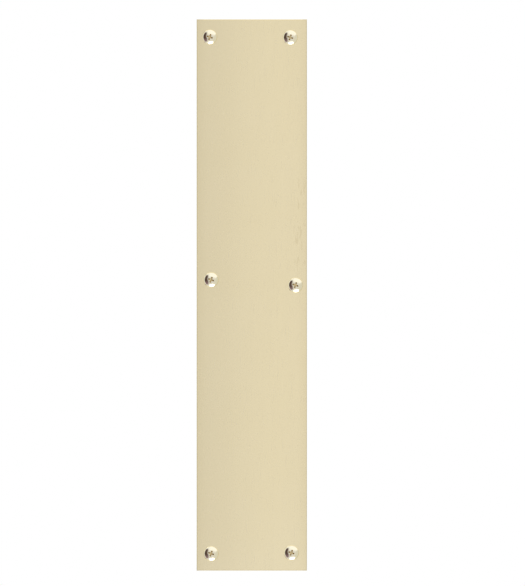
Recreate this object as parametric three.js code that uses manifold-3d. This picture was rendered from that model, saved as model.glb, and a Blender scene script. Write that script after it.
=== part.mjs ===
// Kick plate: a bevelled brass sheet, held to the foot of a door by six dome-head wood screws.
// Millimetres. +Z is up along the plate's length, +X is across it, and -Y faces out of the door.
// The origin is the centre of the plate's back face, which lies against the door in the plane y = 0.

import * as THREE from 'three';
import { mergeVertices } from 'three/addons/utils/BufferGeometryUtils.js';
import Module from 'manifold-3d';

// Plate: 6 in by 30 in of 0.050 in sheet, with a shallow bevel round its four front edges
const INCH = 25.4;
const plateWidth = 6 * INCH;
const plateHeight = 30 * INCH;
const plateThickness = 0.05 * INCH;
const bevelWidth = 1.2;
const bevelDepth = 0.2;
const holeDiameter = 7.0;

// Screws: 1 1/4 in long under a broad dome head with a cross recess
const screwLength = 1.25 * INCH;
const headDiameter = 20.8;
const headHeight = 5.4;
const headRim = 0.35;
const shankDiameter = 6.15;
const rootDiameter = 4.3;
const threadPitch = INCH / 10;
const threadedShare = 2 / 3;
const pointLength = 6;
const recessSpan = 8.8;
const recessArmWidth = 2.1;
const recessDepth = 3.4;
const recessTurnDegrees = 20;

// Gap left between a head and the plate, so that the two solids stay apart
const seatGap = 0.3;

// Facets round each curved surface, and rings up the dome
const sidesOfHole = 24;
const sidesOfHead = 28;
const sidesOfShank = 10;
const ringsOfDome = 6;

// Each screw's place, across and up from the plate's centre. The middle pair is drilled out of level.
const screwPlaces = {
  top_left: [-58.1, 356.6],
  top_right: [53.1, 356.1],
  middle_left: [-56.3, 21.0],
  middle_right: [60.3, 13.6],
  bottom_left: [-56.3, -357.5],
  bottom_right: [54.7, -356.4],
};

const wasm = await Module();
wasm.setup();

// Turns a closed three.js geometry into a solid that can be joined and cut.
function solidOf(geometry) {
  const bare = geometry.clone();
  bare.deleteAttribute('normal');
  bare.deleteAttribute('uv');
  const merged = mergeVertices(bare, 1e-4);
  const vertProperties = new Float32Array(merged.attributes.position.array);
  const triVerts = new Uint32Array(merged.index.array);
  return new wasm.Manifold(new wasm.Mesh({ numProp: 3, vertProperties, triVerts }));
}

// Turns a solid back into a three.js geometry.
function geometryOf(solid) {
  const mesh = solid.getMesh();
  const geometry = new THREE.BufferGeometry();
  geometry.setAttribute('position', new THREE.BufferAttribute(mesh.vertProperties, 3));
  geometry.setIndex(new THREE.BufferAttribute(mesh.triVerts, 1));
  geometry.computeVertexNormals();
  return geometry;
}

// The plate's section along one side: square at the back, bevelled at both front corners.
function bevelledSection(width) {
  const edge = width / 2;
  return new THREE.Shape([
    new THREE.Vector2(-edge, 0),
    new THREE.Vector2(-edge, bevelDepth - plateThickness),
    new THREE.Vector2(bevelWidth - edge, -plateThickness),
    new THREE.Vector2(edge - bevelWidth, -plateThickness),
    new THREE.Vector2(edge, bevelDepth - plateThickness),
    new THREE.Vector2(edge, 0),
  ]);
}

// A section run along Z, centred on the origin.
function run(section, length) {
  const geometry = new THREE.ExtrudeGeometry(section, { depth: length, bevelEnabled: false });
  return geometry.translate(0, 0, -length / 2);
}

// Two crossed bars share only the plate, with all four bevels mitred at its corners.
function plateGeometry() {
  const upright = run(bevelledSection(plateWidth), plateHeight);
  const across = run(bevelledSection(plateHeight), plateWidth).rotateY(Math.PI / 2);
  let plate = solidOf(upright).intersect(solidOf(across));
  const radius = holeDiameter / 2;
  const drill = new THREE.CylinderGeometry(radius, radius, 4 * plateThickness, sidesOfHole);
  for (const [x, z] of Object.values(screwPlaces)) {
    plate = plate.subtract(solidOf(drill.clone().translate(x, 0, z)));
  }
  return geometryOf(plate);
}

// The screw lies along Y with its head's underside at y = 0, its dome towards -Y and its point at +Y.
const threadStart = screwLength * (1 - threadedShare);
const coneStart = screwLength - pointLength;

// Radius of the thread's root at a depth below the head, shrinking to nothing at the point.
function rootRadius(depth) {
  return (rootDiameter / 2) * Math.min(1, (screwLength - depth) / pointLength);
}

// Half an ellipse on a low upright rim: steep at the edge and nearly flat round the recess.
function headGeometry() {
  const radius = headDiameter / 2;
  const domeHeight = headHeight - headRim;
  const profile = [new THREE.Vector2(0, -headHeight)];
  for (let ring = ringsOfDome - 1; ring >= 0; ring--) {
    const angle = (ring / ringsOfDome) * (Math.PI / 2);
    profile.push(new THREE.Vector2(radius * Math.cos(angle), -headRim - domeHeight * Math.sin(angle)));
  }
  profile.push(new THREE.Vector2(radius, 0), new THREE.Vector2(0, 0));
  return new THREE.LatheGeometry(profile, sidesOfHead);
}

// The plain shank starts inside the head, so that the two join, and steps down to the thread's root.
function shankGeometry() {
  const shank = shankDiameter / 2;
  const root = rootDiameter / 2;
  const insideHead = -headHeight / 3;
  const profile = [
    new THREE.Vector2(0, insideHead),
    new THREE.Vector2(shank, insideHead),
    new THREE.Vector2(shank, threadStart),
    new THREE.Vector2(root, threadStart + shank - root),
    new THREE.Vector2(root, coneStart),
    new THREE.Vector2(0, screwLength),
  ];
  return new THREE.LatheGeometry(profile, sidesOfShank);
}

// The thread's right-hand path, with a frame that keeps the ridge pointing straight out from the axis.
class ThreadPath extends THREE.Curve {
  constructor(from, to) {
    super();
    this.from = from;
    this.to = to;
    this.turns = (to - from) / threadPitch;
  }

  getPoint(t, target = new THREE.Vector3()) {
    const depth = THREE.MathUtils.lerp(this.from, this.to, t);
    const angle = 2 * Math.PI * this.turns * t;
    const radius = rootRadius(depth);
    return target.set(radius * Math.sin(angle), depth, radius * Math.cos(angle));
  }

  getPointAt(u, target) {
    return this.getPoint(u, target);
  }

  computeFrenetFrames(segments) {
    const tangents = [];
    const normals = [];
    const binormals = [];
    for (let i = 0; i <= segments; i++) {
      const angle = 2 * Math.PI * this.turns * (i / segments);
      const outward = new THREE.Vector3(Math.sin(angle), 0, Math.cos(angle));
      const along = new THREE.Vector3(0, 1, 0);
      tangents.push(new THREE.Vector3().crossVectors(along, outward));
      normals.push(along);
      binormals.push(outward);
    }
    return { tangents, normals, binormals };
  }
}

// A three-sided ridge wound round the root, its foot sunk into it.
function threadGeometry() {
  const wholeTurns = Math.floor((screwLength - threadStart) / threadPitch);
  const path = new ThreadPath(threadStart, threadStart + wholeTurns * threadPitch);
  const crest = (shankDiameter - rootDiameter) / 2;
  const sunk = -0.35;
  const halfFoot = 0.3 * threadPitch;
  const ridge = new THREE.Shape([
    new THREE.Vector2(-halfFoot, sunk),
    new THREE.Vector2(halfFoot, sunk),
    new THREE.Vector2(0, crest),
  ]);
  const steps = wholeTurns * sidesOfShank;
  return new THREE.ExtrudeGeometry(ridge, { extrudePath: path, steps, bevelEnabled: false });
}

// Cross recess: two crossed bars, narrowed by a cone towards the bottom of the socket.
function recessSolid() {
  const mouth = recessSpan / 2;
  const floorRadius = recessArmWidth / 2;
  const floorHeight = headHeight - recessDepth;
  const overshoot = 1;
  const slope = (mouth - floorRadius) / recessDepth;
  const cone = new THREE.LatheGeometry([
    new THREE.Vector2(0, -headHeight - overshoot),
    new THREE.Vector2(mouth + slope * overshoot, -headHeight - overshoot),
    new THREE.Vector2(floorRadius, -floorHeight),
    new THREE.Vector2(0, -floorHeight),
  ], sidesOfHead);
  const reach = headHeight + overshoot;
  const bar = new THREE.BoxGeometry(headDiameter, reach, recessArmWidth).translate(0, -reach / 2, 0);
  const cross = solidOf(bar).add(solidOf(bar.clone().rotateY(Math.PI / 2)));
  return cross.intersect(solidOf(cone)).rotate(0, recessTurnDegrees, 0);
}

function screwGeometry() {
  const body = solidOf(headGeometry()).add(solidOf(shankGeometry())).add(solidOf(threadGeometry()));
  return geometryOf(body.subtract(recessSolid()));
}

const plateBrass = new THREE.MeshStandardMaterial({ color: 0xe4d1a2, roughness: 0.18, metalness: 1 });
const screwBrass = new THREE.MeshStandardMaterial({ color: 0xd9c48c, roughness: 0.12, metalness: 1 });

const kickPlate = new THREE.Group();

const plate = new THREE.Mesh(plateGeometry(), plateBrass);
plate.name = 'plate';
kickPlate.add(plate);

const screw = screwGeometry();
for (const [place, [x, z]] of Object.entries(screwPlaces)) {
  const mesh = new THREE.Mesh(screw, screwBrass);
  mesh.name = `screw_${place}`;
  mesh.position.set(x, -plateThickness - seatGap, z);
  kickPlate.add(mesh);
}

export default kickPlate;
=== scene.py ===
"""Looks of the brass kick plate: the bevelled sheet, its six dome-head screws and a pale studio.

Everything is in metres in the part's own frame: +Z up the plate, +X across it, -Y out of its polished face.
"""

import math

import bpy
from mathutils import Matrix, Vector


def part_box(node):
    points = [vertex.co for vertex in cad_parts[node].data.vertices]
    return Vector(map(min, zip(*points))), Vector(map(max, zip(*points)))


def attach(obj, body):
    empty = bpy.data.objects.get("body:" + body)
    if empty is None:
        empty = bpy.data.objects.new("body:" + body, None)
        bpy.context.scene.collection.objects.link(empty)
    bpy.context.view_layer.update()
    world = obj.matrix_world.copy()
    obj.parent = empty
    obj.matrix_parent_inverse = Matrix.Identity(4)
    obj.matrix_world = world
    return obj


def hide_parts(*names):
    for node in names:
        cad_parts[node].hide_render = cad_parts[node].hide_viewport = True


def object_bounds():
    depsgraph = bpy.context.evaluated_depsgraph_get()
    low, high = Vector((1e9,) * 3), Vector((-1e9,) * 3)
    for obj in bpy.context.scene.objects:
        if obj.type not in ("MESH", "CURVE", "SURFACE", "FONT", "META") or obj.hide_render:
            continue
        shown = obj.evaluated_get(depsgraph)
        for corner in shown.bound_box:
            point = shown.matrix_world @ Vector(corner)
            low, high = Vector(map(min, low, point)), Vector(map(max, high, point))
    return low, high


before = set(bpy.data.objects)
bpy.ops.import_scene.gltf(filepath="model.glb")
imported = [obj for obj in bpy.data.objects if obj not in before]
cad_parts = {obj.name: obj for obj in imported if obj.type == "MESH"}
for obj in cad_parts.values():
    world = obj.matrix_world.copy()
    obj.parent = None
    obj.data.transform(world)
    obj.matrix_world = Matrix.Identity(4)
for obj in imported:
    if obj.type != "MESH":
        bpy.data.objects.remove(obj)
cad_low, cad_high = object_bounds()

MM = 0.001

# The sheet's edges, holes and waves
BEVEL_WIDTH = 1.2 * MM
BEVEL_DEPTH = 0.2 * MM
EDGE_MARGIN = 1.5 * MM
HOLE_RADIUS = 3.5 * MM
HOLE_BREAK = 0.15 * MM
HOLE_BLOCK = 5.6 * MM
WAVE_HEIGHT = 0.05 * MM

# The screws, measured from a head's underside along its axis
SCREW_LENGTH = 31.75 * MM
HEAD_HEIGHT = 5.4 * MM
HEAD_RIM = 0.35 * MM
HEAD_SINK = 0.24 * MM
SHANK_RADIUS = 3.075 * MM
ROOT_RADIUS = 2.15 * MM
TIP_RADIUS = 0.1 * MM
THREAD_PITCH = 2.54 * MM
THREAD_START = SCREW_LENGTH / 3
POINT_LENGTH = 6 * MM
TIP_START = SCREW_LENGTH - 0.15 * MM

# The cross recess, turned clockwise as it is seen from the front
RECESS_REACH = 4.4 * MM
RECESS_HALF_ARM = 1.05 * MM
RECESS_DEPTH = 3.4 * MM
RECESS_FLOOR = RECESS_DEPTH - HEAD_HEIGHT
RECESS_TURN = math.radians(20)

# The thread's ridge: share of a pitch, and share of its height
RIDGE = [(0, 0), (0.26, 0), (0.31, 0.05), (0.40, 0.45), (0.475, 0.95), (0.5, 1.0),
         (0.525, 0.95), (0.60, 0.45), (0.69, 0.05), (0.74, 0), (1, 0)]
RIDGE_ROWS = [0.0, 0.13, 0.26, 0.31, 0.355, 0.40, 0.44, 0.475,
              0.5, 0.525, 0.56, 0.60, 0.645, 0.69, 0.74, 0.87]

# Direction of the strong low light in front of the plate
LOW_LAMP = Vector((0.13, -0.44, -0.88))


# Shader trees

class Tree:
    """A node tree with short ways to add what the materials here use."""

    def __init__(self, owner):
        owner.use_nodes = True
        self.tree = owner.node_tree
        self.tree.nodes.clear()

    def add(self, kind, **settings):
        node = self.tree.nodes.new(kind)
        for name, value in settings.items():
            setattr(node, name, value)
        return node

    def feed(self, socket, value):
        """Links an output to the socket, or sets a number or a colour on it."""
        if isinstance(value, bpy.types.NodeSocket):
            self.tree.links.new(value, socket)
        else:
            socket.default_value = value

    def math(self, operation, a, b=0.0):
        node = self.add("ShaderNodeMath", operation=operation)
        self.feed(node.inputs[0], a)
        self.feed(node.inputs[1], b)
        return node.outputs[0]

    def total(self, start, *parts):
        """The start plus each value times its weight."""
        for value, weight in parts:
            start = self.math("ADD", self.math("MULTIPLY", value, weight), start)
        return start

    def product(self, first, *others):
        for other in others:
            first = self.math("MULTIPLY", first, other)
        return first

    def ramp(self, value, start, end):
        """Smooth step of a value, from 0 at the start to 1 at the end."""
        node = self.add("ShaderNodeMapRange", interpolation_type="SMOOTHSTEP")
        for name, number in (("Value", value), ("From Min", start), ("From Max", end)):
            self.feed(node.inputs[name], number)
        return node.outputs["Result"]

    def mix(self, share, a, b):
        node = self.add("ShaderNodeMix", data_type="RGBA")
        self.feed(node.inputs[0], share)
        self.feed(node.inputs[6], a)
        self.feed(node.inputs[7], b)
        return node.outputs[2]

    def layers(self, colour, *coats):
        """A colour with others laid over it, each by its mask and its strength."""
        for mask, strength, over in coats:
            colour = self.mix(self.math("MULTIPLY", mask, strength), colour, over)
        return colour

    def noise(self, vector, scale, detail, rough=0.5):
        """Noise in 0 to 1. The scale is one number, or three for a stretched noise."""
        if not isinstance(scale, tuple):
            scale = (scale,) * 3
        mapping = self.add("ShaderNodeMapping")
        self.feed(mapping.inputs["Vector"], vector)
        self.feed(mapping.inputs["Scale"], scale)
        node = self.add("ShaderNodeTexNoise")
        self.feed(node.inputs["Vector"], mapping.outputs["Vector"])
        self.feed(node.inputs["Scale"], 1.0)
        self.feed(node.inputs["Detail"], detail)
        self.feed(node.inputs["Roughness"], rough)
        return node.outputs["Fac"]

    def bumps(self, *parts):
        """A normal bumped by each height, with its strength and its distance."""
        normal = None
        for height, strength, distance in parts:
            node = self.add("ShaderNodeBump")
            self.feed(node.inputs["Height"], height)
            self.feed(node.inputs["Strength"], strength)
            self.feed(node.inputs["Distance"], distance)
            if normal is not None:
                self.feed(node.inputs["Normal"], normal)
            normal = node.outputs["Normal"]
        return normal

    def object_point(self):
        return self.add("ShaderNodeTexCoord").outputs["Object"]

    def split(self, vector):
        node = self.add("ShaderNodeSeparateXYZ")
        self.feed(node.inputs[0], vector)
        return node.outputs["X"], node.outputs["Y"], node.outputs["Z"]

    def from_axis(self, vector):
        """Distance from the Y axis."""
        node = self.add("ShaderNodeVectorMath", operation="MULTIPLY")
        self.feed(node.inputs[0], vector)
        self.feed(node.inputs[1], (1.0, 0.0, 1.0))
        length = self.add("ShaderNodeVectorMath", operation="LENGTH")
        self.feed(length.inputs[0], node.outputs["Vector"])
        return length.outputs["Value"]

    def turned(self, vector, degrees):
        node = self.add("ShaderNodeVectorRotate", rotation_type="Y_AXIS")
        self.feed(node.inputs["Vector"], vector)
        self.feed(node.inputs["Angle"], math.radians(degrees))
        return node.outputs["Vector"]

    def metal(self, colour, roughness, normal, lacquer=0.0):
        """Ends a material's tree in a metal, under clear lacquer if it has any."""
        shader = self.add("ShaderNodeBsdfPrincipled")
        self.feed(shader.inputs["Metallic"], 1.0)
        self.feed(shader.inputs["Base Color"], colour)
        self.feed(shader.inputs["Roughness"], roughness)
        self.feed(shader.inputs["Normal"], normal)
        self.feed(shader.inputs["Coat Weight"], lacquer)
        self.feed(shader.inputs["Coat Roughness"], 0.06)
        self.feed(self.add("ShaderNodeOutputMaterial").inputs["Surface"], shader.outputs[0])


def rgb(red, green, blue):
    return (red, green, blue, 1.0)


def hair_scratches(tree, point, fineness=1.0):
    """Sparse hairlines in three directions, mostly along Z."""
    total = 0.0
    for degrees, width, run in ((4, 3200, 26), (-9, 2800, 34), (58, 2400, 60)):
        scale = (width * fineness, 40.0 * fineness, run * fineness)
        hairs = tree.noise(tree.turned(point, degrees), scale, 0.0)
        total = tree.math("MAXIMUM", total, tree.ramp(hairs, 0.76, 0.82))
    return total


# Finishes

def plate_face_material():
    """Polished brass under lacquer, with lengthwise buffing lines, hair scratches, scuffs and worn edges; its
    colour also darkens towards the long sides and on the bevel as painted shade.
    """
    material = bpy.data.materials.new("polished_plate_brass")
    tree = Tree(material)
    point = tree.object_point()
    x, _, z = tree.split(point)
    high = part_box("plate")[1]
    from_side = tree.math("SUBTRACT", high.x, tree.math("ABSOLUTE", x))
    from_end = tree.math("SUBTRACT", high.z, tree.math("ABSOLUTE", z))
    from_edge = tree.math("MINIMUM", from_side, from_end)
    # Painted shade: the colour darkens over the last 16 mm towards each long side.
    border = tree.ramp(from_side, 16 * MM, 0.0)
    # Painted shade: the colour darkens on the bevel round every edge.
    bevel = tree.ramp(from_edge, 1.6 * MM, 0.9 * MM)
    worn = tree.ramp(tree.noise(point, 420.0, 2.0), 0.52, 0.66)
    worn = tree.math("MULTIPLY", worn, tree.ramp(from_edge, 0.5 * MM, 0.15 * MM))

    lines = tree.noise(point, (2600.0, 2600.0, 14.0), 2.0, 0.6)
    broad = tree.noise(point, (60.0, 60.0, 5.0), 2.0)
    clouds = tree.noise(point, 14.0, 3.0)
    scratches = hair_scratches(tree, point)
    scuffs = plate_scuffs(tree, point, x, z)

    colour = tree.mix(tree.ramp(clouds, 0.3, 0.7), rgb(0.894, 0.783, 0.522), rgb(0.900, 0.790, 0.533))
    colour = tree.layers(
        colour,
        (lines, 0.06, rgb(0.80, 0.67, 0.40)),
        (scuffs, 0.45, rgb(0.78, 0.66, 0.41)),
        # painted shade along the long sides
        (border, 0.30, rgb(0.80, 0.69, 0.44)),
        # painted shade on the bevel
        (bevel, 0.80, rgb(0.80, 0.68, 0.41)),
        (worn, 0.60, rgb(0.93, 0.84, 0.62)),
    )
    roughness = tree.total(0.14, (broad, 0.06), (lines, 0.06), (scratches, 0.15), (scuffs, 0.06), (worn, 0.1))
    normal = tree.bumps((lines, 0.25, 0.02 * MM), (scratches, 0.5, -0.02 * MM))
    tree.metal(colour, roughness, normal, lacquer=1.0)
    return material


def plate_scuffs(tree, point, x, z):
    """A patch of faint rubbed marks at the right edge, above the middle."""
    marks = tree.ramp(tree.noise(point, (260.0, 260.0, 70.0), 2.0), 0.56, 0.66)
    along = tree.math("ABSOLUTE", tree.math("SUBTRACT", z, 95 * MM))
    return tree.product(marks, tree.ramp(x, 56 * MM, 62 * MM), tree.ramp(along, 75 * MM, 50 * MM))


def plate_back_material():
    """The face against the door: mill finish, dull, with rolling lines and faint stains."""
    material = bpy.data.materials.new("mill_finish_brass")
    tree = Tree(material)
    point = tree.object_point()
    lines = tree.noise(point, (1500.0, 1500.0, 9.0), 3.0, 0.6)
    stains = tree.noise(point, 26.0, 4.0, 0.6)
    colour = tree.mix(tree.ramp(stains, 0.45, 0.75), rgb(0.80, 0.64, 0.37), rgb(0.73, 0.56, 0.31))
    colour = tree.layers(colour, (tree.ramp(lines, 0.4, 0.75), 0.35, rgb(0.66, 0.50, 0.27)))
    roughness = tree.total(0.28, (stains, 0.18))
    tree.metal(colour, roughness, tree.bumps((lines, 0.4, 0.03 * MM)))
    return material


def head_material():
    """Bright lacquered dome, with the faintest turning rings and a few hair scratches."""
    material = bpy.data.materials.new("polished_screw_brass")
    tree = Tree(material)
    point = tree.object_point()
    rings = tree.math("SINE", tree.math("MULTIPLY", tree.from_axis(point), 22000.0))
    clouds = tree.noise(point, 160.0, 3.0)
    scratches = hair_scratches(tree, point, 3.0)
    colour = tree.mix(clouds, rgb(0.945, 0.875, 0.68), rgb(0.96, 0.90, 0.715))
    roughness = tree.total(0.07, (clouds, 0.05), (scratches, 0.08))
    normal = tree.bumps((rings, 0.02, 0.005 * MM), (scratches, 0.2, -0.01 * MM))
    tree.metal(colour, roughness, normal, lacquer=1.0)
    return material


def recess_material():
    """The driver recess: dark brown walls that are painted shade, mottled with grime, and a colour that turns
    lighter towards the floor.
    """
    material = bpy.data.materials.new("recess_brass_with_painted_shade_and_grime")
    tree = Tree(material)
    point = tree.object_point()
    _, depth, _ = tree.split(point)
    grime = tree.noise(point, 900.0, 4.0, 0.6)
    floor_lightening = tree.ramp(depth, RECESS_FLOOR - 1.0 * MM, RECESS_FLOOR)
    # Painted shade: the whole recess is coloured dark brown, and the grime noise mottles it darker still.
    colour = tree.mix(tree.ramp(grime, 0.35, 0.7), rgb(0.68, 0.52, 0.23), rgb(0.48, 0.34, 0.13))
    # The colour turns lighter towards the recess's floor.
    colour = tree.mix(floor_lightening, colour, rgb(0.90, 0.76, 0.45))
    roughness = tree.total(0.3, (grime, 0.2))
    tree.metal(colour, roughness, tree.bumps((grime, 0.2, 0.03 * MM)))
    return material


def thread_material():
    """Rolled shank and thread: brass with drawing marks, darker down in the roots as painted shade."""
    material = bpy.data.materials.new("rolled_thread_brass")
    tree = Tree(material)
    point = tree.object_point()
    # Painted shade: the colour darkens from the thread's crests down into its roots.
    crest = tree.ramp(tree.from_axis(point), ROOT_RADIUS, SHANK_RADIUS)
    marks = tree.noise(point, (300.0, 2400.0, 300.0), 3.0, 0.6)
    colour = tree.mix(crest, rgb(0.66, 0.49, 0.25), rgb(0.86, 0.73, 0.44))
    colour = tree.layers(colour, (marks, 0.3, rgb(0.55, 0.38, 0.17)))
    roughness = tree.total(0.2, (marks, 0.16))
    tree.metal(colour, roughness, tree.bumps((marks, 0.15, 0.03 * MM)))
    return material


# Shapes

class Skin:
    """Points and faces of one closed mesh. Each face has the index of its material."""

    def __init__(self):
        self.points = []
        self.faces = []
        self.indexes = []
        self.known = {}

    def vertex(self, key, place):
        """The vertex known by a key, added at the place if it's new."""
        if key not in self.known:
            self.known[key] = len(self.points)
            self.points.append(place)
        return self.known[key]

    def face(self, corners, index):
        """Adds a face. Corners that repeat are dropped, and so is a face that has shrunk to a line."""
        unique = list(dict.fromkeys(corners))
        if len(unique) > 2:
            self.faces.append(unique)
            self.indexes.append(index)

    def band(self, first, second, index):
        """Adds the faces between two closed rings of vertices."""
        for here in range(len(first)):
            after = (here + 1) % len(first)
            self.face([first[here], first[after], second[after], second[here]], index)

    def mesh(self, name, materials, sharp_degrees=30):
        mesh = bpy.data.meshes.new(name)
        mesh.from_pydata(self.points, [], self.faces)
        for material in materials:
            mesh.materials.append(material)
        mesh.polygons.foreach_set("material_index", self.indexes)
        mesh.validate()
        mesh.update()
        mesh.shade_smooth()
        mesh.set_sharp_from_angle(angle=math.radians(sharp_degrees))
        return mesh


def add_object(name, content):
    piece = bpy.data.objects.new(name, content)
    bpy.context.scene.collection.objects.link(piece)
    return piece


def rounded(corners, radii, steps=4):
    """The line through the corners, with each inner corner turned into an arc of its radius."""
    path = [Vector(corners[0])]
    for number, radius in enumerate(radii):
        before, corner, after = (Vector(place) for place in corners[number:number + 3])
        back = (before - corner).normalized()
        ahead = (after - corner).normalized()
        half = back.angle(ahead) / 2
        centre = corner + (back + ahead).normalized() * (radius / math.sin(half))
        reach = radius / math.tan(half)
        first = corner + back * reach - centre
        last = corner + ahead * reach - centre
        sweep = first.angle(last)
        for step in range(steps + 1):
            turn = sweep * step / steps
            spoke = (first * math.sin(sweep - turn) + last * math.sin(turn)) / math.sin(sweep)
            path.append(centre + spoke)
    path.append(Vector(corners[-1]))
    return path


def evenly(start, stop, step):
    """Places from the start up to but not the stop, about a step apart."""
    count = max(1, round((stop - start) / step))
    return [start + (stop - start) * i / count for i in range(count)]


def grid_lines(low, high, centres):
    """Places of grid lines: a millimetre apart round the centres and seven elsewhere."""
    near = 8 * MM
    spans = []
    for centre in sorted(centres):
        if spans and centre - near < spans[-1][1]:
            spans[-1][1] = centre + near
        else:
            spans.append([centre - near, centre + near])
    lines = []
    place = low
    for start, end in spans:
        start = max(start, low)
        end = min(end, high)
        lines += evenly(place, start, 7 * MM) + evenly(start, end, 1 * MM)
        place = end
    return lines + evenly(place, high, 7 * MM) + [high]


class Sheet:
    """The plate: one closed skin with bevelled edges, six holes and the slight waves of real sheet."""

    FACE, BACK = 0, 1

    def __init__(self):
        self.low, self.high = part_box("plate")
        self.skin = Skin()
        self.holes = []
        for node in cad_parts:
            if node != "plate":
                low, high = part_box(node)
                self.holes.append(((low.x + high.x) / 2, (low.z + high.z) / 2))
        self.xs = grid_lines(self.low.x + EDGE_MARGIN, self.high.x - EDGE_MARGIN, [x for x, _ in self.holes])
        self.zs = grid_lines(self.low.z + EDGE_MARGIN, self.high.z - EDGE_MARGIN, [z for _, z in self.holes])
        self.blocks = [self.block_round(x, z) for x, z in self.holes]

    def block_round(self, x, z):
        """The grid block that a hole's rings fill: its left, right, bottom and top lines."""
        left = max(i for i, line in enumerate(self.xs) if line <= x - HOLE_BLOCK)
        right = min(i for i, line in enumerate(self.xs) if line >= x + HOLE_BLOCK)
        bottom = max(j for j, line in enumerate(self.zs) if line <= z - HOLE_BLOCK)
        top = min(j for j, line in enumerate(self.zs) if line >= z + HOLE_BLOCK)
        return left, right, bottom, top

    def wave(self, x, z):
        """Height of the waves, which die away at the edges and round the holes."""
        from_holes = [math.hypot(x - a, z - b) - 12 * MM for a, b in self.holes]
        calm = min(self.high.x - abs(x), self.high.z - abs(z), *from_holes)
        share = min(1.0, max(0.0, calm / (25 * MM)))
        share *= share * (3 - 2 * share)
        roll = math.sin(9.1 * z + 14.0 * x + 0.7) + 0.6 * math.sin(23.0 * z - 19.0 * x + 2.1)
        return WAVE_HEIGHT * share * (roll + 0.5 * math.sin(41.0 * x + 5.0 * z)) / 2

    def grid_point(self, side, i, j):
        x, z = self.xs[i], self.zs[j]
        y = self.low.y if side == self.FACE else self.high.y
        return self.skin.vertex((side, i, j), (x, y + self.wave(x, z), z))

    def ring_round(self, block):
        """Grid places round a block, anticlockwise as seen from the front."""
        left, right, bottom, top = block
        ring = [(i, bottom) for i in range(left, right)]
        ring += [(right, j) for j in range(bottom, top)]
        ring += [(i, top) for i in range(right, left, -1)]
        return ring + [(left, j) for j in range(top, bottom, -1)]

    def add_flats(self):
        """Both faces' grids, without the blocks of the holes."""
        taken = {(i, j) for a, b, c, d in self.blocks for i in range(a, b) for j in range(c, d)}
        for i in range(len(self.xs) - 1):
            for j in range(len(self.zs) - 1):
                if (i, j) not in taken:
                    square = [(i, j), (i + 1, j), (i + 1, j + 1), (i, j + 1)]
                    self.skin.face([self.grid_point(self.FACE, *place) for place in square], self.FACE)
                    self.skin.face([self.grid_point(self.BACK, *place) for place in square[::-1]], self.BACK)

    def add_hole(self, number):
        """Rings from a block in to its hole, down the wall with both rims broken, and out at the back."""
        x, z = self.holes[number]
        ring = self.ring_round(self.blocks[number])
        front, back = self.low.y, self.high.y
        rim = HOLE_RADIUS + HOLE_BREAK
        soft = HOLE_RADIUS + HOLE_BREAK * 0.3
        wall = [(rim, front), (soft, front + HOLE_BREAK * 0.3), (HOLE_RADIUS, front + HOLE_BREAK),
                (HOLE_RADIUS, back - HOLE_BREAK), (soft, back - HOLE_BREAK * 0.3), (rim, back)]
        stations = [(0.5, rim, front), (0.2, rim, front), *((0.0, *place) for place in wall),
                    (0.2, rim, back), (0.5, rim, back)]
        rows = [[self.grid_point(self.FACE, i, j) for i, j in ring]]
        for row, (outward, radius, y) in enumerate(stations):
            places = []
            for i, j in ring:
                edge = Vector((self.xs[i] - x, self.zs[j] - z))
                spoke = (edge.normalized() * radius).lerp(edge, outward)
                places.append(self.skin.vertex((number, row, i, j), (x + spoke.x, y, z + spoke.y)))
            rows.append(places)
        rows.append([self.grid_point(self.BACK, i, j) for i, j in ring])
        polished_bands = 7
        for row in range(len(rows) - 1):
            self.skin.band(rows[row], rows[row + 1], self.FACE if row < polished_bands else self.BACK)

    def add_edges(self):
        """Loops from the front's margin over the bevel and round to the back's margin."""
        last_i, last_j = len(self.xs) - 1, len(self.zs) - 1
        border = self.ring_round((0, last_i, 0, last_j))
        front, back = self.low.y, self.high.y
        section = rounded([(EDGE_MARGIN, front), (BEVEL_WIDTH, front), (0, front + BEVEL_DEPTH), (0, back),
                           (EDGE_MARGIN, back)], [0.9 * MM, 0.18 * MM, 0.12 * MM])
        inner = [self.grid_point(self.FACE, i, j) for i, j in border]
        for row, (margin, y) in enumerate(section[1:-1]):
            across = {0: self.low.x + margin, last_i: self.high.x - margin}
            along = {0: self.low.z + margin, last_j: self.high.z - margin}
            outer = []
            for i, j in border:
                place = (across.get(i, self.xs[i]), y, along.get(j, self.zs[j]))
                outer.append(self.skin.vertex(("edge", row, i, j), place))
            self.skin.band(outer, inner, self.FACE)
            inner = outer
        self.skin.band([self.grid_point(self.BACK, i, j) for i, j in border], inner, self.FACE)

    def build(self, materials):
        self.add_flats()
        for number in range(len(self.holes)):
            self.add_hole(number)
        self.add_edges()
        return self.skin.mesh("kick_plate_sheet", materials)


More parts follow.
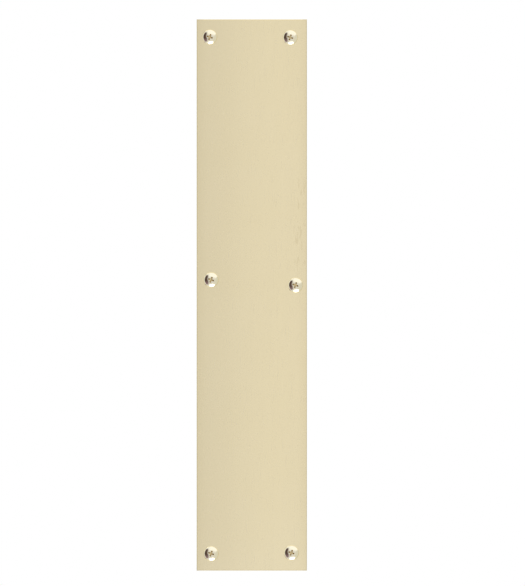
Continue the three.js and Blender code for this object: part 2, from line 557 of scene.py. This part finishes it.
class Screw:
    """One closed skin about the Y axis: recess, dome, rim, underside, shank, thread and point."""

    DOME, RECESS, THREAD = 0, 1, 2

    def __init__(self, head_radius):
        self.head_radius = head_radius
        self.skin = Skin()
        self.angles = self.column_angles()
        self.rows = []

    def column_angles(self):
        """Clockwise directions of the columns, close together where the recess's arms turn their corners."""
        corner = math.degrees(math.atan(RECESS_HALF_ARM / RECESS_REACH))
        eighth = [0, 3.5, 7, 10.5, corner - 0.7, corner, corner + 1.2, 17, 20, 24, 28.5, 33, 37, 41, 45]
        quarter = eighth + [90 - angle for angle in reversed(eighth[1:-1])]
        return [math.radians(90 * turn + angle) + RECESS_TURN for turn in range(4) for angle in quarter]

    def vertex(self, column, radius, y):
        angle = self.angles[column]
        key = (column if radius else "axis", round(radius, 8), round(y, 8))
        return self.skin.vertex(key, (radius * math.sin(angle), y, radius * math.cos(angle)))

    def add_row(self, index, place):
        """A ring of vertices, and the band up to it. The place takes an angle and gives a radius and a Y."""
        row = [self.vertex(column, *place(angle)) for column, angle in enumerate(self.angles)]
        if self.rows:
            self.skin.band(self.rows[-1], row, index)
        self.rows.append(row)

    def dome_drop(self, radius):
        """How far the dome has fallen from its top at a radius."""
        share = min(1.0, radius / self.head_radius)
        return (HEAD_HEIGHT - HEAD_RIM) * (1 - math.sqrt(1 - share * share))

    def recess_wall(self, angle, depth):
        """Distance from the axis to the cross recess's wall, at a depth below the dome's top."""
        off_arm = (angle - RECESS_TURN + math.pi / 4) % (math.pi / 2) - math.pi / 4
        reach = RECESS_REACH - 0.62 * depth
        half_arm = RECESS_HALF_ARM - 0.10 * depth
        return min(reach, half_arm / max(abs(math.sin(off_arm)), 1e-6))

    def mouth(self, angle):
        """Radius at which the recess's wall meets the dome."""
        radius = RECESS_REACH
        for _ in range(12):
            radius = self.recess_wall(angle, self.dome_drop(radius))
        return radius

    def add_recess(self):
        """From the middle of the socket's floor, up its walls to just under its mouth."""
        def floor(angle):
            return self.recess_wall(angle, RECESS_DEPTH) * 0.55, RECESS_FLOOR + 0.12 * MM

        self.add_row(self.RECESS, lambda angle: (0, RECESS_FLOOR + 0.3 * MM))
        self.add_row(self.RECESS, floor)
        steps = 6
        for step in range(steps + 1):
            def wall(angle, share=step / steps):
                top = self.dome_drop(self.mouth(angle)) + 0.16 * MM
                depth = RECESS_DEPTH + (top - RECESS_DEPTH) * share
                return self.recess_wall(angle, depth), depth - HEAD_HEIGHT
            self.add_row(self.RECESS, wall)

    def add_dome(self):
        """The rounded lip of the recess, then the dome out to its rim."""
        hub = RECESS_REACH * 1.12
        lip = 0.21 * MM
        for beyond, sink in ((0.024 * MM, 0.05 * MM), (0.09 * MM, 0.01 * MM), (lip, 0.0)):
            def edge(angle, beyond=beyond, sink=sink):
                radius = self.mouth(angle) + beyond
                return radius, self.dome_drop(radius) + sink - HEAD_HEIGHT
            self.add_row(self.RECESS if beyond < 0.03 * MM else self.DOME, edge)
        for share in (0.3, 0.65):
            def spread(angle, share=share):
                start = self.mouth(angle) + lip
                radius = start + (hub - start) * share
                return radius, self.dome_drop(radius) - HEAD_HEIGHT
            self.add_row(self.DOME, spread)
        rings = 22
        first = math.asin(hub / self.head_radius)
        for ring in range(rings + 1):
            tilt = first + (math.pi / 2 - first) * ring / rings
            radius = self.head_radius * math.sin(tilt)
            drop = (HEAD_HEIGHT - HEAD_RIM) * (1 - math.cos(tilt))
            self.add_row(self.DOME, lambda angle, place=(radius, drop - HEAD_HEIGHT): place)

    def add_shank(self):
        """The rim, the underside, the fillet and the plain shank."""
        corners = [(self.head_radius, -HEAD_RIM), (self.head_radius, HEAD_SINK), (SHANK_RADIUS, HEAD_SINK),
                   (SHANK_RADIUS, 2 * MM)]
        for place in rounded(corners, [0.12 * MM, 0.35 * MM])[1:]:
            index = self.DOME if place.x > 4 * MM else self.THREAD
            self.add_row(index, lambda angle, place=tuple(place): place)
        for y in (4 * MM, 7 * MM, THREAD_START):
            self.add_row(self.THREAD, lambda angle, y=y: (SHANK_RADIUS, y))

    def thread_radius(self, depth, phase):
        """Radius at a depth below the head, and at a place across one pitch."""
        to_point = (SCREW_LENGTH - depth) / POINT_LENGTH
        root = ROOT_RADIUS * min(1.0, max(to_point, 0.05))
        for (start, low), (end, high) in zip(RIDGE, RIDGE[1:], strict=False):
            if start <= phase <= end:
                height = low + (high - low) * (phase - start) / (end - start)
                break
        crest = (SHANK_RADIUS - ROOT_RADIUS) * min(1.0, 0.25 + 0.75 * max(to_point, 0.0))
        shoulder = SHANK_RADIUS - (depth - THREAD_START) * 0.8
        return max(root + crest * height, shoulder)

    def thread_vertex(self, step, column):
        """A vertex of the thread. Each column lies a little deeper than the last one, by one pitch a turn."""
        lap, column = divmod(column, len(self.angles))
        turn, part = divmod(step + lap * len(RIDGE_ROWS), len(RIDGE_ROWS))
        phase = RIDGE_ROWS[part]
        ahead = (self.angles[column] - RECESS_TURN) / (2 * math.pi)
        depth = THREAD_START + (turn + phase - 1 + ahead) * THREAD_PITCH
        if depth <= THREAD_START:
            return self.vertex(column, SHANK_RADIUS, THREAD_START)
        if depth >= TIP_START:
            return self.vertex(column, TIP_RADIUS, TIP_START)
        return self.vertex(column, self.thread_radius(depth, phase), depth)

    def add_thread(self):
        turns = math.ceil((SCREW_LENGTH - THREAD_START) / THREAD_PITCH) + 2
        for step in range(turns * len(RIDGE_ROWS)):
            for column in range(len(self.angles)):
                corners = [(step, column), (step, column + 1), (step + 1, column + 1), (step + 1, column)]
                self.skin.face([self.thread_vertex(*corner) for corner in corners], self.THREAD)
        self.rows = []
        self.add_row(self.THREAD, lambda angle: (TIP_RADIUS, TIP_START))
        self.add_row(self.THREAD, lambda angle: (0, SCREW_LENGTH))

    def build(self, materials):
        self.add_recess()
        self.add_dome()
        self.add_shank()
        self.add_thread()
        return self.skin.mesh("dome_screw", materials)


def make_plate(materials):
    plate = add_object("kick_plate_sheet", Sheet().build(materials))
    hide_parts("plate")
    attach(plate, "plate")
    return plate


def make_screws(materials):
    """Six screws of one shape, each where its CAD node is."""
    mesh = None
    screws = []
    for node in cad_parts:
        if node == "plate":
            continue
        low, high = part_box(node)
        underside = high.y - SCREW_LENGTH
        if mesh is None:
            mesh = Screw((high.x - low.x) / 2).build(materials)
        screw = add_object("dome_" + node, mesh)
        screw.location = ((low.x + high.x) / 2, underside, (low.z + high.z) / 2)
        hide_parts(node)
        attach(screw, node)
        screws.append(screw)
    return screws


# Studio

def make_world():
    """A white background, and a pale room that only reflections see."""
    world = bpy.data.worlds.new("pale_studio")
    bpy.context.scene.world = world
    tree = Tree(world)
    room = tree.add("ShaderNodeBackground")
    tree.feed(room.inputs["Color"], room_colour(tree))
    seen = tree.add("ShaderNodeBackground")
    tree.feed(seen.inputs["Color"], rgb(1.0, 1.0, 1.0))
    switch = tree.add("ShaderNodeMixShader")
    tree.feed(switch.inputs[0], tree.add("ShaderNodeLightPath").outputs["Is Camera Ray"])
    tree.feed(switch.inputs[1], room.outputs[0])
    tree.feed(switch.inputs[2], seen.outputs[0])
    tree.feed(tree.add("ShaderNodeOutputWorld").inputs["Surface"], switch.outputs[0])


def room_colour(tree):
    """Bright overhead, duller at the right, a dark flag at the left and a strong low lamp in front."""
    direction = tree.add("ShaderNodeTexCoord").outputs["Generated"]
    x, y, z = tree.split(direction)
    above = tree.product(tree.ramp(tree.total(z, (x, 0.2)), 0.16, 0.6), tree.ramp(x, -0.75, -0.05))
    room = tree.mix(above, rgb(0.74, 0.735, 0.725), rgb(1.07, 1.07, 1.05))
    right = tree.product(tree.ramp(tree.total(x, (z, -1.0)), 0.25, 0.65),
                         tree.ramp(tree.total(x, (z, -0.3)), 0.40, 0.75))
    room = tree.mix(right, room, rgb(0.72, 0.705, 0.62))
    room = tree.mix(flag_mask(tree, x, y, z), room, flag_colour(tree, x, z))
    return tree.mix(lamp_mask(tree, direction), room, lamp_colour(tree, y))


def flag_colour(tree, x, z):
    """Near black, with a purplish sheen low down."""
    shade = tree.mix(tree.ramp(x, -0.9, -0.6), rgb(0.080, 0.055, 0.036), rgb(0.100, 0.065, 0.062))
    return tree.mix(tree.ramp(z, -0.05, -0.6), shade, rgb(0.25, 0.17, 0.20))


def flag_mask(tree, x, y, z):
    """The dark flag: its inner edge bulges towards the middle low down, and its lower edge slopes."""
    inner_edge = tree.total(x, (tree.ramp(z, 0.05, -0.2), -0.12), (tree.ramp(z, 0.2, 0.45), -0.06))
    lower_edge = tree.total(z, (x, -0.5))
    return tree.product(tree.ramp(inner_edge, -0.34, -0.60), tree.ramp(y, -0.18, -0.34),
                        tree.ramp(z, 0.78, 0.62), tree.ramp(lower_edge, -0.52, -0.32))


def lamp_mask(tree, direction):
    """The round patch of the low lamp."""
    toward = tree.add("ShaderNodeVectorMath", operation="DOT_PRODUCT")
    tree.feed(toward.inputs[0], direction)
    tree.feed(toward.inputs[1], LOW_LAMP.normalized())
    return tree.ramp(toward.outputs["Value"], 0.885, 0.925)


def lamp_colour(tree, y):
    """Brightest straight below, where only the rims of the heads catch it."""
    return tree.mix(tree.ramp(y, -0.36, -0.24), rgb(0.86, 0.86, 0.86), rgb(2.4, 2.4, 2.4))


def add_light(name, light_data, place, facing, colour, lit):
    """A light at a place, facing back along a direction and shining on some pieces only."""
    light_data.color = colour
    light = add_object(name, light_data)
    light.location = place
    light.rotation_euler = Vector(facing).to_track_quat("Z", "Y").to_euler()
    light.visible_camera = False
    receivers = bpy.data.collections.new(name + "_receivers")
    for piece in lit:
        receivers.objects.link(piece)
    light.light_linking.receiver_collection = receivers


def round_light(name, direction, spread_degrees, radiance, colour, lit):
    """A far disc of light, as wide as its spread."""
    light_data = bpy.data.lights.new(name, "SUN")
    light_data.angle = math.radians(spread_degrees)
    light_data.energy = radiance * math.pi * math.sin(light_data.angle / 2) ** 2
    add_light(name, light_data, Vector(direction) * 3, direction, colour, lit)


def card_light(name, centre, facing, size, radiance, colour, lit):
    """An upright rectangular card, facing back along a direction."""
    light_data = bpy.data.lights.new(name, "AREA")
    light_data.shape = "RECTANGLE"
    light_data.size, light_data.size_y = size
    light_data.energy = radiance * 4 * size[0] * size[1]
    add_light(name, light_data, centre, facing, colour, lit)


def make_lights(plate, screws):
    """Cards that shade the plate across, fills that hide the dark flag from it, and the heads' lamp."""
    front = (0, -1, 0)
    left = (-1.1, -0.9, 0)
    card_light("warm_card", (0.05, -0.9, 0.0), front, (0.15, 2.2), 0.12, (1.0, 0.96, 0.80), [plate])
    card_light("cool_card", (0.0, -0.9, -0.70), front, (0.8, 0.6), 0.08, (0.35, 0.5, 1.0), [plate])
    card_light("left_card", (-1.1, -0.9, 0.05), left, (0.9, 1.3), 0.25, (0.91, 1.0, 0.95), [plate])
    round_light("left_fill", (-0.83, -0.54, -0.04), 62, 0.50, (0.91, 1.0, 0.97), [plate])
    round_light("upper_fill", (-0.67, -0.36, 0.65), 50, 0.5, (0.91, 1.0, 0.97), [plate])
    round_light("lower_fill", (-0.35, -0.60, -0.72), 34, 0.45, (0.91, 1.0, 0.97), [plate])
    round_light("head_lamp", LOW_LAMP.normalized(), 50, 1.25, (1.0, 1.0, 1.0), screws)


def make_floor():
    """A pale floor just under the plate, left out of reflections."""
    size = 25.0
    level = cad_low.z - 0.3 * MM
    mesh = bpy.data.meshes.new("floor")
    mesh.from_pydata([(-size, -size, level), (size, -size, level), (size, size, level), (-size, size, level)],
                     [], [(0, 1, 2, 3)])
    material = bpy.data.materials.new("pale_floor")
    tree = Tree(material)
    shader = tree.add("ShaderNodeBsdfDiffuse")
    tree.feed(shader.inputs["Color"], rgb(0.9, 0.9, 0.9))
    tree.feed(tree.add("ShaderNodeOutputMaterial").inputs["Surface"], shader.outputs[0])
    mesh.materials.append(material)
    floor = add_object("floor", mesh)
    floor.visible_glossy = False
    floor.visible_shadow = False


def make_camera():
    """Square on to the face, with the plate a little left of the picture's centre."""
    low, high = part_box("plate")
    camera_data = bpy.data.cameras.new("camera")
    camera_data.type = "ORTHO"
    camera_data.ortho_scale = (high.z - low.z) * 1.0631
    camera = add_object("camera", camera_data)
    camera.location = (14.8 * MM, -2.5, 2.74 * MM)
    camera.rotation_euler = (math.pi / 2, 0, 0)
    bpy.context.scene.camera = camera


def write_size():
    """Brings the view layer up to date."""
    bpy.context.view_layer.update()


plate = make_plate([plate_face_material(), plate_back_material()])
screws = make_screws([head_material(), recess_material(), thread_material()])
make_world()
make_lights(plate, screws)
make_floor()
make_camera()
bpy.context.scene.view_settings.view_transform = "Standard"
write_size()
